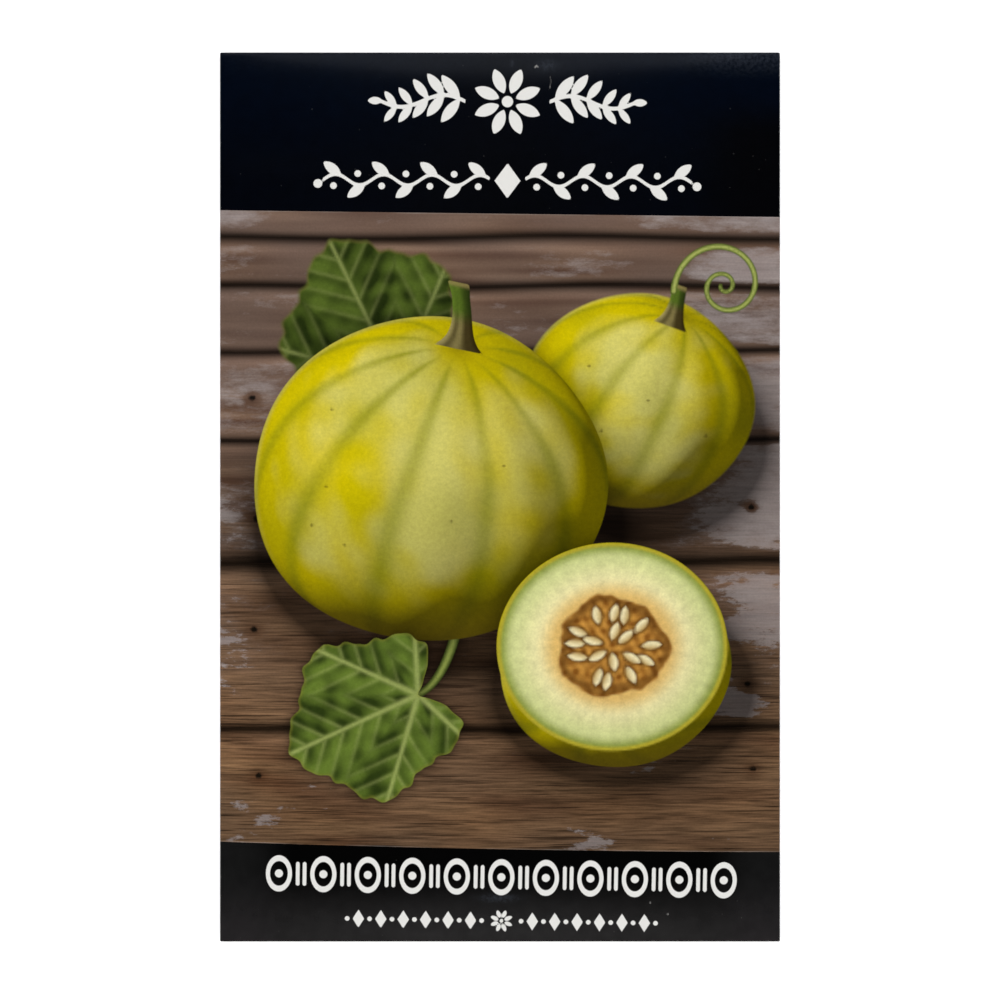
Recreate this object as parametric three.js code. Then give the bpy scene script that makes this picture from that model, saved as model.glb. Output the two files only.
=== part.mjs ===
// A paper seed packet: one sheet of coated paper, folded and glued into a flat pouch, with loose melon seeds inside.
// It lies on its back, printed front up. +X is the packet's right, +Y its top edge, +Z up. Millimetres.
import * as THREE from "three";

// Driving sizes
const WIDTH = 82.5;
const HEIGHT = 131;
const PAPER = 0.15; // thickness of heavy coated paper
const GLUE_GAP = 0.12; // between two glued layers
const RIM_GAP = 0.12; // between the back's layers and the front, where they meet at the rim
const BELLY = 3; // how far the seeds and the air hold the front up at its highest
const LOW_BELLY = 0.35; // the belly sits lower than the middle, because the seeds gather there

// The flaps
const SIDE_FLAP = 12; // laps over the back panel's free edge, on the outside
const BACK_SETBACK = 1.5; // the back panel's free edge stops this short of the right fold
const BOTTOM_FLAP = 14;
const TOP_FLAP = 18;
const FLAP_TAPER = 4; // how much narrower an end flap is on each side at its free edge
const CREASE = 0.2; // outer radius where the paper turns at a pressed fold
const STEP_RUN = 5; // length over which a panel climbs on to the layer beneath it
const STEP_CLEAR = 1; // from the edge of that layer to the foot of the climb

// The glue lines
const GLUE = 0.08;
const GLUE_MARGIN = 2; // from a flap's free edge to its glue

// The seeds
const SEED_COUNT = 25;
const SEED_LENGTH = 9.4;
const SEED_BREADTH = 4.2;
const SEED_THICKNESS = 1.5;
const SEED_POINT = 0.34; // share of the breadth that the pointed end loses
const SEED_REST = 0.1; // clearance under and over a lying seed
const SEED_SPACING = 0.5; // least free distance between two seeds
const SEED_SPREAD = 0.5; // share of the packet's height that the seeds lie over
const SEED_SINK = 1.6; // above 1 they gather towards the bottom of it
const SEED_DRAW = 20; // starts the random placing

// Worked out from the sizes above
const LAYER = PAPER + GLUE_GAP;
const RIM = 2 * LAYER + PAPER + RIM_GAP; // underside of the front panel at the rim
const HALF_WIDTH = WIDTH / 2 - CREASE; // of the part of the front between its folds
const HALF_HEIGHT = HEIGHT / 2 - CREASE;

// Mesh steps
const FRONT_COLUMNS = 20;
const CREASE_STEPS = 3;
const PLAIN_ROWS = 20;

const PAPER_FINISH = new THREE.MeshStandardMaterial({
  color: 0xf2f0ea,
  roughness: 0.4,
  metalness: 0,
});
const GLUE_FINISH = new THREE.MeshStandardMaterial({
  color: 0xd9cfae,
  roughness: 0.3,
  metalness: 0,
});
const SEED_FINISH = new THREE.MeshStandardMaterial({
  color: 0xe3cf9c,
  roughness: 0.55,
  metalness: 0,
});

// 0 before from, 1 after to, with a soft start and end.
function soft(value, from, to) {
  const t = Math.min(1, Math.max(0, (value - from) / (to - from)));
  return t * t * (3 - 2 * t);
}

function evenly(from, to, steps) {
  return Array.from(
    { length: steps + 1 },
    (_, i) => from + ((to - from) * i) / steps,
  );
}

// How far the back is lifted at y, where an end flap lies under it.
const bottomFlapEnd = -HEIGHT / 2 + BOTTOM_FLAP + STEP_CLEAR;
const topFlapEnd = HEIGHT / 2 - TOP_FLAP - STEP_CLEAR;
function endLift(y) {
  const bottom = 1 - soft(y, bottomFlapEnd, bottomFlapEnd + STEP_RUN);
  const top = soft(y, topFlapEnd - STEP_RUN, topFlapEnd);
  return LAYER * (bottom + top);
}

// How far the back panel is lifted at x, where the side flap lies under it.
const sideFlapEdge = WIDTH / 2 - SIDE_FLAP;
const seamEnd = sideFlapEdge - STEP_CLEAR;
const seamStart = seamEnd - STEP_RUN;
function seamLift(x) {
  return LAYER * soft(x, seamStart, seamEnd);
}

// The belly: a parabola across, and one along that leans towards the bottom edge. It is 0 at the rim and 1 at its peak.
function along(share) {
  return (1 - share * share) * (1 - LOW_BELLY * share);
}
const peakShare =
  (1 - Math.sqrt(1 + 3 * LOW_BELLY * LOW_BELLY)) / (3 * LOW_BELLY);
function belly(x, y) {
  const across = Math.max(0, 1 - (x / HALF_WIDTH) ** 2);
  const down = Math.max(0, along(y / HALF_HEIGHT) / along(peakShare));
  return BELLY * across * down;
}

// The sheet's columns go round the pouch: side flap, right fold, front, left fold, back panel.
// Each is a function of the row's y that gives the place and the outward direction of the paper's middle surface.
function sideFlapColumn(x) {
  return (y) => ({ x, z: endLift(y) + PAPER / 2, outX: 0, outZ: -1 });
}

function frontColumn(x) {
  return (y) => ({ x, z: RIM + PAPER / 2 + belly(x, y), outX: 0, outZ: 1 });
}

function backColumn(x) {
  return (y) => ({
    x,
    z: endLift(y) + seamLift(x) + PAPER / 2,
    outX: 0,
    outZ: -1,
  });
}

// A pressed fold in section, from the lower layer up to the front: a quarter turn, a short upright and a quarter turn.
const foldStations = [
  ...evenly(-90, 0, CREASE_STEPS).map((degrees) => ({ degrees, upper: false })),
  ...evenly(0, 90, CREASE_STEPS).map((degrees) => ({ degrees, upper: true })),
];
function foldSection({ degrees, upper }, low) {
  const angle = (degrees * Math.PI) / 180;
  const radius = CREASE - PAPER / 2;
  const centre = upper ? RIM + PAPER - CREASE : low + CREASE;
  return {
    reach: radius * Math.cos(angle),
    z: centre + radius * Math.sin(angle),
    out: Math.cos(angle),
    up: Math.sin(angle),
  };
}

// side is 1 for the right fold and -1 for the left one.
function foldColumn(side, station) {
  return (y) => {
    const section = foldSection(station, endLift(y));
    return {
      x: side * (HALF_WIDTH + section.reach),
      z: section.z,
      outX: side * section.out,
      outZ: section.up,
    };
  };
}

const frontXs = evenly(HALF_WIDTH, -HALF_WIDTH, FRONT_COLUMNS);
const backXs = [
  ...evenly(-HALF_WIDTH, seamStart, 2).slice(1, -1),
  ...evenly(seamStart, seamEnd, 3),
  sideFlapEdge + SIDE_FLAP / 2,
  WIDTH / 2 - BACK_SETBACK,
];
const columnsBeforeFront = [
  ...evenly(sideFlapEdge, HALF_WIDTH, 2).slice(0, -1).map(sideFlapColumn),
  ...foldStations.slice(0, -1).map((station) => foldColumn(1, station)),
];
const columns = [
  ...columnsBeforeFront,
  ...frontXs.map(frontColumn),
  ...foldStations.toReversed().slice(1).map((station) => foldColumn(-1, station)),
  ...backXs.map(backColumn),
];
const firstFlapColumn = columnsBeforeFront.length;
const lastFlapColumn = firstFlapColumn + FRONT_COLUMNS;

// The sheet's rows go from the bottom flap's free edge, over the front, to the top flap's free edge.
// A body row has only its y. A flap row has the fold that it belongs to as well.
function bodyRows() {
  const ys = new Set([
    ...evenly(-HALF_HEIGHT, HALF_HEIGHT, PLAIN_ROWS),
    ...evenly(bottomFlapEnd, bottomFlapEnd + STEP_RUN, 2),
    ...evenly(topFlapEnd - STEP_RUN, topFlapEnd, 2),
  ]);
  return [...ys].sort((a, b) => a - b).map((y) => ({ y }));
}

// end is -1 for the bottom flap and 1 for the top one. The rows go from the flap's free edge round its fold.
function flapRows(end, length) {
  const fold = foldStations.slice(0, -1).map((station) => {
    const section = foldSection(station, 0);
    return {
      y: end * (HALF_HEIGHT + section.reach),
      z: section.z,
      outY: end * section.out,
      outZ: section.up,
      narrowed: 0,
    };
  });
  const free = {
    y: end * (HEIGHT / 2 - length),
    z: PAPER / 2,
    outY: 0,
    outZ: -1,
    narrowed: FLAP_TAPER,
  };
  return [free, ...fold];
}

const bottomRows = flapRows(-1, BOTTOM_FLAP);
const rows = [
  ...bottomRows,
  ...bodyRows(),
  ...flapRows(1, TOP_FLAP).reverse(),
];
const firstBodyRow = bottomRows.length;
const lastBodyRow = rows.length - bottomRows.length - 1;

// One point of the sheet on its outside (side 1) or inside (side -1).
function sheetPoint(row, column, side) {
  const half = (side * PAPER) / 2;
  if (row.z === undefined) {
    const at = column(row.y);
    return [at.x + half * at.outX, row.y, at.z + half * at.outZ];
  }
  const x = column(0).x;
  return [
    x * (1 - row.narrowed / HALF_WIDTH),
    row.y + half * row.outY,
    row.z + half * row.outZ,
  ];
}

// The blank is a cross of cells: every column beside the body rows, and only the flaps' columns beside the flap rows.
function inBlank(i, j) {
  const body = j >= firstBodyRow && j < lastBodyRow;
  const flap = i >= firstFlapColumn && i < lastFlapColumn;
  return (
    i >= 0 &&
    i < columns.length - 1 &&
    j >= 0 &&
    j < rows.length - 1 &&
    (body || flap)
  );
}

// Closed thick sheet: both faces of each cell, and a wall wherever a cell has no neighbour.
function foldedSheet() {
  const places = [];
  const indexOf = new Map();
  const faces = [];

  function vertex(i, j, side) {
    const key = `${i} ${j} ${side}`;
    if (!indexOf.has(key)) {
      indexOf.set(key, places.length / 3);
      places.push(...sheetPoint(rows[j], columns[i], side));
    }
    return indexOf.get(key);
  }

  function quad(a, b, c, d) {
    faces.push(a, b, c, a, c, d);
  }

  function wall(i0, j0, i1, j1) {
    quad(
      vertex(i0, j0, 1),
      vertex(i1, j1, 1),
      vertex(i1, j1, -1),
      vertex(i0, j0, -1),
    );
  }

  for (let i = 0; i < columns.length - 1; i++) {
    for (let j = 0; j < rows.length - 1; j++) {
      if (!inBlank(i, j)) continue;
      quad(
        vertex(i, j, 1),
        vertex(i, j + 1, 1),
        vertex(i + 1, j + 1, 1),
        vertex(i + 1, j, 1),
      );
      quad(
        vertex(i, j, -1),
        vertex(i + 1, j, -1),
        vertex(i + 1, j + 1, -1),
        vertex(i, j + 1, -1),
      );
      if (!inBlank(i - 1, j)) wall(i, j + 1, i, j);
      if (!inBlank(i + 1, j)) wall(i + 1, j, i + 1, j + 1);
      if (!inBlank(i, j - 1)) wall(i, j, i + 1, j);
      if (!inBlank(i, j + 1)) wall(i + 1, j + 1, i, j + 1);
    }
  }
  const sheet = new THREE.BufferGeometry();
  sheet.setAttribute("position", new THREE.Float32BufferAttribute(places, 3));
  sheet.setIndex(faces);
  return sheet;
}

// The seam's glue follows the lift of the back, so it is a strip with one cross-section for each body row.
function seamGlue() {
  const low = -HEIGHT / 2 + GLUE_MARGIN;
  const high = HEIGHT / 2 - GLUE_MARGIN;
  const left = sideFlapEdge + GLUE_MARGIN;
  const right = WIDTH / 2 - BACK_SETBACK - GLUE_MARGIN;
  const inner = rows
    .slice(firstBodyRow, lastBodyRow + 1)
    .map((row) => row.y)
    .filter((y) => y > low && y < high);
  const ys = [low, ...inner, high];
  const bottomAt = (y) => endLift(y) + PAPER + (GLUE_GAP - GLUE) / 2;
  const outline = new THREE.Shape([
    ...ys.map((y) => new THREE.Vector2(y, bottomAt(y))),
    ...ys.toReversed().map((y) => new THREE.Vector2(y, bottomAt(y) + GLUE)),
  ]);
  const strip = new THREE.ExtrudeGeometry(outline, {
    depth: right - left,
    bevelEnabled: false,
  });
  // The outline's own X and Y become the packet's Y and Z, and its depth runs along X.
  strip.applyMatrix4(
    new THREE.Matrix4().makeBasis(
      new THREE.Vector3(0, 1, 0),
      new THREE.Vector3(0, 0, 1),
      new THREE.Vector3(1, 0, 0),
    ),
  );
  return strip.translate(left, 0, 0);
}

function flapGlue(length) {
  const across = 2 * (HALF_WIDTH - FLAP_TAPER - GLUE_MARGIN);
  return new THREE.BoxGeometry(across, length - 2 * GLUE_MARGIN, GLUE);
}

// A flat teardrop: a squashed ball that narrows towards the end that grew on the fruit.
function seedShape() {
  const seed = new THREE.SphereGeometry(1, 10, 7);
  const at = seed.getAttribute("position");
  for (let i = 0; i < at.count; i++) {
    const towardsPoint = (at.getY(i) + 1) / 2;
    at.setX(i, at.getX(i) * (1 - SEED_POINT * towardsPoint));
  }
  return seed.scale(SEED_BREADTH / 2, SEED_LENGTH / 2, SEED_THICKNESS / 2);
}

// A repeatable stream of numbers from 0 to 1.
function drawer(seed) {
  let state = seed;
  return () => {
    state = (state * 1664525 + 1013904223) % 4294967296;
    return state / 4294967296;
  };
}

// Three places along a lying seed, which stand for its outline when seeds are kept apart.
function spine(seed) {
  const reach = (SEED_LENGTH - SEED_BREADTH) / 2;
  return [-1, 0, 1].map((k) => ({
    x: seed.x - k * reach * Math.sin(seed.turn),
    y: seed.y + k * reach * Math.cos(seed.turn),
  }));
}

// Seeds are dropped one by one where the pouch is open enough for one, clear of the seam and of each other.
function layOutSeeds() {
  const draw = drawer(SEED_DRAW);
  const headroom = PAPER + SEED_THICKNESS + 3 * SEED_REST - RIM;
  const reach = SEED_LENGTH / 2;
  const lowest = bottomFlapEnd + STEP_RUN + reach;
  const seeds = [];
  while (seeds.length < SEED_COUNT) {
    const seed = {
      x: (draw() * 2 - 1) * (seamStart - reach),
      y: lowest + draw() ** SEED_SINK * HEIGHT * SEED_SPREAD,
      turn: draw() * 2 * Math.PI,
    };
    const points = spine(seed);
    const room = points.every((p) => {
      const out = p.x + Math.sign(p.x) * (SEED_BREADTH / 2);
      const down = p.y + Math.sign(p.y) * (SEED_BREADTH / 2);
      return belly(out, down) > headroom;
    });
    const clear = seeds.every((other) =>
      spine(other).every((o) =>
        points.every(
          (p) =>
            Math.hypot(p.x - o.x, p.y - o.y) > SEED_BREADTH + SEED_SPACING,
        ),
      ),
    );
    if (room && clear) seeds.push(seed);
  }
  return seeds;
}

function piece(name, geometry, finish) {
  const mesh = new THREE.Mesh(geometry, finish);
  mesh.name = name;
  return mesh;
}

const packet = new THREE.Group();
packet.add(piece("paper_sheet", foldedSheet(), PAPER_FINISH));
packet.add(piece("seam_glue", seamGlue(), GLUE_FINISH));

const bottomGlue = piece("bottom_glue", flapGlue(BOTTOM_FLAP), GLUE_FINISH);
bottomGlue.position.set(
  0,
  (BOTTOM_FLAP - HEIGHT) / 2,
  PAPER + GLUE_GAP / 2,
);
packet.add(bottomGlue);

const topGlue = piece("top_glue", flapGlue(TOP_FLAP), GLUE_FINISH);
topGlue.position.set(0, (HEIGHT - TOP_FLAP) / 2, PAPER + GLUE_GAP / 2);
packet.add(topGlue);

layOutSeeds().forEach((place, index) => {
  const number = String(index + 1).padStart(2, "0");
  const seed = piece(`seed_${number}`, seedShape(), SEED_FINISH);
  seed.position.set(
    place.x,
    place.y,
    PAPER + SEED_REST + SEED_THICKNESS / 2,
  );
  seed.rotation.z = place.turn;
  packet.add(seed);
});

export default packet;
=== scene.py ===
# %% [markdown]
# # A printed paper seed packet
# The packet is one sheet of coated paper, folded and glued into a flat pouch, with its front printed from
# edge to edge. It lies on its back and the camera looks straight down on it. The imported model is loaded
# first: it is the fixed frame that says where everything is, and it is never moved.

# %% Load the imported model
import math

import bpy
import numpy as np
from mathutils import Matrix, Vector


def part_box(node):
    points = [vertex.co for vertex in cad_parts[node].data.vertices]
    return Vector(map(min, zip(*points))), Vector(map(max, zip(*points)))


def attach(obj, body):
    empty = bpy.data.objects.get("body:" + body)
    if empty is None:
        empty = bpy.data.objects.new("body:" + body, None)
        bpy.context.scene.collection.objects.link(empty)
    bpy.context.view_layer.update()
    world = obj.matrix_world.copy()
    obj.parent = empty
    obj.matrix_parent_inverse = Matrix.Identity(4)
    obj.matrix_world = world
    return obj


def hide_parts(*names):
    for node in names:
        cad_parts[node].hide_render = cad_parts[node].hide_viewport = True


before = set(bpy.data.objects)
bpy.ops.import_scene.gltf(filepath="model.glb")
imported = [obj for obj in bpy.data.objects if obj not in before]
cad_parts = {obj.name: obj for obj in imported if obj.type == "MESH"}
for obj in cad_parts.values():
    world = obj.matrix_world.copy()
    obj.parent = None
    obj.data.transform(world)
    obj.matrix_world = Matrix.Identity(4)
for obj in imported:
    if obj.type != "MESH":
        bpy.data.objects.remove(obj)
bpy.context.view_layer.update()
print("pieces in the frame:", len(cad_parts))

# %% [markdown]
# ## Sizes
# A maker of packets thinks in millimetres, and Blender in metres. Lengths below are in millimetres until a
# mesh is made. The outside sizes are read from the frame, and the flaps and gaps repeat those of the model.

# %% Sizes of the folded sheet
MM = 0.001
sheet_low, sheet_high = (np.array(corner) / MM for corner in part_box("paper_sheet"))
WIDTH, HEIGHT, TOP = sheet_high - sheet_low
PAPER = 0.15  # thickness of the sheet
GLUE_GAP = 0.12  # between two glued layers
RIM_GAP = 0.12  # between front and back at the rim
CREASE = 0.2  # outer radius of a pressed fold
SIDE_FLAP = 12
BACK_SETBACK = 1.5  # how far short of the other side the back panel stops
BOTTOM_FLAP = 14
TOP_FLAP = 18
FLAP_TAPER = 4  # how far each end of a flap's free edge is cut in
STEP_RUN = 5  # over which a panel climbs on to a flap
STEP_CLEAR = 1  # between that climb's end and the flap's edge
LOW_BELLY = 0.35  # how far the belly leans to the low end
INK = 0.012  # thickness of ink and varnish, thicker than life so that it clears the paper

LAYER = PAPER + GLUE_GAP
RIM = 2 * LAYER + PAPER + RIM_GAP
BELLY = TOP - RIM - PAPER
HALF_WIDTH = WIDTH / 2 - CREASE
HALF_HEIGHT = HEIGHT / 2 - CREASE
QUARTER = math.pi / 2 * (CREASE - PAPER / 2)  # length of a quarter turn of a fold
UPRIGHT = RIM + PAPER - 2 * CREASE
FOLD = 2 * QUARTER + UPRIGHT
print(f"packet {WIDTH:.1f} by {HEIGHT:.1f} by {TOP:.2f} mm, belly {BELLY:.2f} mm")

# %% [markdown]
# ## The fold as a function
# Folding a sheet neither stretches nor cuts it, so every point of the folded packet has an address on the
# flat blank: s across and r along, both measured from the middle of the front. One function takes an
# address to its place in space. The paper and every film of ink on it then share that function, and nothing
# has to be fitted.

# %% How high the panels lie
def soft(value, start, end):
    """0 before start and 1 after end, by 3t^2 - 2t^3 between them."""
    t = np.clip((value - start) / (end - start), 0, 1)
    return t * t * (3 - 2 * t)


def end_lift(y):
    """How far the back is lifted off the table where an end flap lies under it."""
    bottom_end = -HEIGHT / 2 + BOTTOM_FLAP + STEP_CLEAR
    top_end = HEIGHT / 2 - TOP_FLAP - STEP_CLEAR
    bottom = 1 - soft(y, bottom_end, bottom_end + STEP_RUN)
    top = soft(y, top_end - STEP_RUN, top_end)
    return LAYER * (bottom + top)


def seam_lift(x):
    """How far the back panel is lifted again where the side flap lies under it."""
    seam_end = WIDTH / 2 - SIDE_FLAP - STEP_CLEAR
    return LAYER * soft(x, seam_end - STEP_RUN, seam_end)


def belly(x, y):
    """A parabola across times (1 - v^2)(1 - kv) along, which is 1 at its peak, below the middle."""
    def along(v):
        """The part along, at v half heights above the middle."""
        return (1 - v * v) * (1 - LOW_BELLY * v)

    peak = (1 - math.sqrt(1 + 3 * LOW_BELLY**2)) / (3 * LOW_BELLY)
    across = np.maximum(1 - (x / HALF_WIDTH) ** 2, 0)
    return BELLY * across * np.maximum(along(y / HALF_HEIGHT), 0) / along(peak)


print(f"the belly rises {belly(0, 0):.2f} mm in the middle of the front")

# %% Swells, puckers and shoulders
SWELL = 0.18  # how deep the slow hollows between the front's swells are
SIDE_PUCKER, SIDE_PUCKER_LENGTH = 0.08, 13  # height and wavelength
END_PUCKER, END_PUCKER_LENGTH = 0.02, 24
PUCKER_REACH = 5  # distance in from a fold at which a pucker is highest
TOP_SHOULDER, TOP_SHOULDER_REACH = 0.11, 4.6  # height, and where in from the fold
LOW_SHOULDER, LOW_SHOULDER_REACH = 0.3, 12


def hump(inward, reach):
    """Rises from 0 at a fold to 1 at reach, as t exp(1 - t), and sinks slowly beyond it."""
    t = np.maximum(inward, 0) / reach
    return t * np.exp(1 - t)


def unevenness(x, y):
    """How far the front strays from a smooth belly. Swells are a mean of three long sine waves. Puckers are
    short waves along the folds, because flat paper can't turn into a dome without them. Along its two end
    folds the sheet also stands up in a low shoulder, as a stuffed pouch does."""
    across, along = np.abs(x / HALF_WIDTH), np.abs(y / HALF_HEIGHT)
    waves = (x / 46 + y / 61 + 0.1, x / 31 - y / 47 + 0.34, y / 37 + 0.16)
    swell = sum(np.sin(2 * math.pi * wave) for wave in waves) / 3
    window = np.maximum(1 - across**2, 0) * np.maximum(1 - along**2, 0)

    def pucker(place, length):
        """A sine wave of this length, whose phase wanders so that no two puckers are alike."""
        return np.sin(2 * math.pi * place / length + 1.3 * np.sin(2 * math.pi * place / (3.1 * length)))

    at_sides = SIDE_PUCKER * pucker(y + 5 * np.sign(x), SIDE_PUCKER_LENGTH) * np.maximum(1 - along**4, 0)
    at_ends = END_PUCKER * pucker(x - 2, END_PUCKER_LENGTH) * np.maximum(1 - across**4, 0)
    puckers = at_sides * hump(HALF_WIDTH - np.abs(x), PUCKER_REACH)
    puckers = puckers + at_ends * hump(HALF_HEIGHT - np.abs(y), PUCKER_REACH)
    shoulders = TOP_SHOULDER * hump(HALF_HEIGHT - y, TOP_SHOULDER_REACH)
    shoulders = shoulders + LOW_SHOULDER * hump(HALF_HEIGHT + y, LOW_SHOULDER_REACH)
    swells = SWELL * window * (swell - 1) / 2
    return swells + puckers * (1 - window) + shoulders * np.maximum(1 - across**12, 0)


low_shoulder = unevenness(0, LOW_SHOULDER_REACH - HALF_HEIGHT)
print(f"the low shoulder stands {low_shoulder:.2f} mm above a smooth belly")

# %% A fold in section, and a corner where two folds meet
def fold_section(beyond, low):
    """A pressed fold in section, at a distance beyond the front's edge: a quarter turn down, a short upright,
    a quarter turn under, then flat. Gives the reach out of that edge, the height, and the outward normal."""
    radius = CREASE - PAPER / 2
    turned = np.clip(beyond, 0, QUARTER) + np.clip(beyond - QUARTER - UPRIGHT, 0, QUARTER)
    angle = math.pi / 2 - turned / radius
    down = np.clip((beyond - QUARTER) / UPRIGHT, 0, 1)
    centre = (RIM + PAPER - CREASE) * (1 - down) + (low + CREASE) * down
    under = np.maximum(beyond - FOLD, 0)
    reach = radius * np.cos(angle) - under
    return reach, centre + radius * np.sin(angle), np.cos(angle), np.sin(angle)


def corner_ball(side, end, beyond_s, beyond_r, out):
    """Where two folds meet, the paper is pressed into an eighth of a ball. If a and b are the angles that it
    has turned over each fold, it faces sin a sqrt(1 - sin^2 b / 2) across, the same with a and b changed
    along, and cos a cos b up."""
    radius = CREASE - PAPER / 2
    a, b = (np.minimum(beyond, QUARTER) / radius for beyond in (beyond_s, beyond_r))
    out_x = side * np.sin(a) * np.sqrt(1 - np.sin(b) ** 2 / 2)
    out_y = end * np.sin(b) * np.sqrt(1 - np.sin(a) ** 2 / 2)
    outward = np.stack([out_x, out_y, np.cos(a) * np.cos(b)], -1)
    middle = np.stack([side * HALF_WIDTH, end * HALF_HEIGHT, 0 * side + RIM + PAPER - CREASE], -1)
    return middle + (radius + out) * outward


print(f"a fold takes up {FOLD:.2f} mm of the sheet")

# %% Where a point of the flat blank comes to lie
def on_packet(s, r, out):
    """The place of blank address (s, r), moved out of the paper's middle surface by out."""
    s, r = np.broadcast_arrays(np.asarray(s, float), np.asarray(r, float))
    side, end = np.sign(s), np.sign(r)
    on_flap = np.abs(r) > HALF_HEIGHT
    beyond_s = np.maximum(np.abs(s) - HALF_WIDTH, 0)
    beyond_r = np.maximum(np.abs(r) - HALF_HEIGHT, 0)

    reach, z, out_x, out_z = fold_section(beyond_s, end_lift(r))
    x = side * (np.minimum(np.abs(s), HALF_WIDTH) + reach)
    front_rise = belly(x, r) + unevenness(x, r)
    z = z + np.where(beyond_s > 0, (side < 0) * (beyond_s > FOLD) * seam_lift(x), front_rise)
    body = np.stack([x + out * side * out_x, r, z + out * out_z], -1)

    reach, z, out_y, out_z = fold_section(beyond_r, 0)
    length = np.where(end < 0, BOTTOM_FLAP, TOP_FLAP)
    taper = FLAP_TAPER * np.maximum(beyond_r - FOLD, 0) / (length - CREASE)
    y = end * (HALF_HEIGHT + reach + out * out_y)
    flap = np.stack([s * (1 - taper / HALF_WIDTH), y, z + out * out_z], -1)
    packet = np.where(on_flap[..., None], flap, body)
    at_corner = on_flap & (beyond_s > 0)
    return np.where(at_corner[..., None], corner_ball(side, end, beyond_s, beyond_r, out), packet)


print(f"the front's middle lies {on_packet(0, 0, PAPER / 2)[2]:.2f} mm above the table")

# %% [markdown]
# ## Surfaces from grids
# A film is a rectangular grid of blank addresses. Some of its cells are left out, as the corners of the cut
# blank are, save for the hair of paper that turns over both folds. The grid's nodes go through the folding
# function all at once, and the kept cells become faces. Where a film carries a print, each cell is cut into
# two triangles, along the diagonal whose ends look more alike. Slanting edges in the print then stay
# smooth, instead of turning into saw teeth.

# %% Turn a grid of addresses into a piece
CREASE_STEPS = 4  # cells in each quarter turn of a fold
turn_down = np.linspace(0, QUARTER, CREASE_STEPS + 1)
turn_under = np.linspace(QUARTER + UPRIGHT, FOLD, CREASE_STEPS + 1)
crease_stations = np.concatenate([turn_down, turn_under])


def evenly(start, end, step):
    """Stations from start to end, both included, about step apart."""
    return np.linspace(start, end, max(2, round(abs(end - start) / step) + 1))


def beyond_the_fold(reach):
    """Stations from the front's edge over a crease, and on for reach millimetres at one to a millimetre."""
    return np.concatenate([crease_stations[1:], FOLD + evenly(0, reach, 1)[1:]])


def round_the_folds(step, left, right):
    """Stations across the blank: the front at step, both creases, and left and right of the back."""
    front = evenly(-HALF_WIDTH, HALF_WIDTH, step)
    to_right = HALF_WIDTH + beyond_the_fold(right)
    to_left = -HALF_WIDTH - beyond_the_fold(left)[::-1]
    return np.concatenate([to_left, front, to_right])


def cells(shape, keep):
    """Corner numbers of each kept cell of a grid, turned so that the face looks out of the packet."""
    number = np.arange(math.prod(shape)).reshape(shape)
    corners = [number[:-1, :-1], number[:-1, 1:], number[1:, 1:], number[1:, :-1]]
    return np.stack(corners, -1)[keep]


def split(faces, look):
    """Two triangles for each four-cornered face. The cut joins the two corners that look more alike."""
    a, b, c, d = faces.T
    cut_at_a = np.abs(look[a] - look[c]).sum(1) < np.abs(look[b] - look[d]).sum(1)
    return np.where(cut_at_a, [a, b, c, a, c, d], [b, c, d, b, d, a]).T.reshape(-1, 3)


def make_piece(name, grids, out, fields, material):
    """A mesh object from grids of blank addresses. fields(s, r) gives named arrays that the material reads,
    and what the print looks like at each point."""
    addresses, faces, count = [], [], 0
    for s, r in grids:
        s, r = np.broadcast_arrays(s, r)
        middle_s = (s[1:, 1:] + s[:-1, :-1]) / 2
        middle_r = (r[1:, 1:] + r[:-1, :-1]) / 2
        beyond_s, beyond_r = np.abs(middle_s) - HALF_WIDTH, np.abs(middle_r) - HALF_HEIGHT
        keep = (beyond_r < 0) | (beyond_s < 0) | (np.maximum(beyond_s, beyond_r) < QUARTER)
        faces.append(cells(s.shape, keep) + count)
        addresses.append(np.stack([s, r], -1).reshape(-1, 2))
        count += s.size
    addresses, faces = np.concatenate(addresses), np.concatenate(faces)
    used, faces = np.unique(faces, return_inverse=True)
    addresses, faces = addresses[used], faces.reshape(-1, 4)
    places = on_packet(addresses[:, 0], addresses[:, 1], out) * MM
    stored_fields, look = fields(addresses[:, 0], addresses[:, 1])
    if look is not None:
        faces = split(faces, look)

    mesh = bpy.data.meshes.new(name)
    mesh.from_pydata(places.tolist(), [], faces.tolist())
    mesh.shade_smooth()
    for field, values in stored_fields.items():
        stored = mesh.attributes.new(field, "FLOAT_COLOR", "POINT")
        stored.data.foreach_set("color", values.astype(np.float32).ravel())
    mesh.materials.append(material)
    piece = bpy.data.objects.new(name, mesh)
    bpy.context.scene.collection.objects.link(piece)
    print(f"{name}: {len(faces)} faces")
    return piece


print("stations over a crease:", len(crease_stations))

# %% [markdown]
# ## Materials from nodes
# Every finish is a small graph of nodes. One function adds a node, sets its own properties and fills or
# links its inputs. Colours are written as the sRGB values that one would read off a swatch, and turned to
# the linear values that a shader works in.

# %% Add a node, and turn a swatch to linear
MIX_FACTOR, MIX_A, MIX_B, MIXED = 0, 6, 7, 2  # sockets of a Mix node that mixes colours
COLOURS = {"data_type": "RGBA"}
TIMES, SCALED = {"operation": "MULTIPLY"}, {"operation": "SCALE"}


def linear(swatch):
    """Linear red, green and blue of an sRGB hex colour."""
    srgb = np.array([int(swatch[i : i + 2], 16) for i in (1, 3, 5)]) / 255
    return np.where(srgb <= 0.04045, srgb / 12.92, ((srgb + 0.055) / 1.055) ** 2.4)


def rgba(swatch):
    """The same with full opacity, as a socket takes it."""
    return (*linear(swatch), 1)


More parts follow.
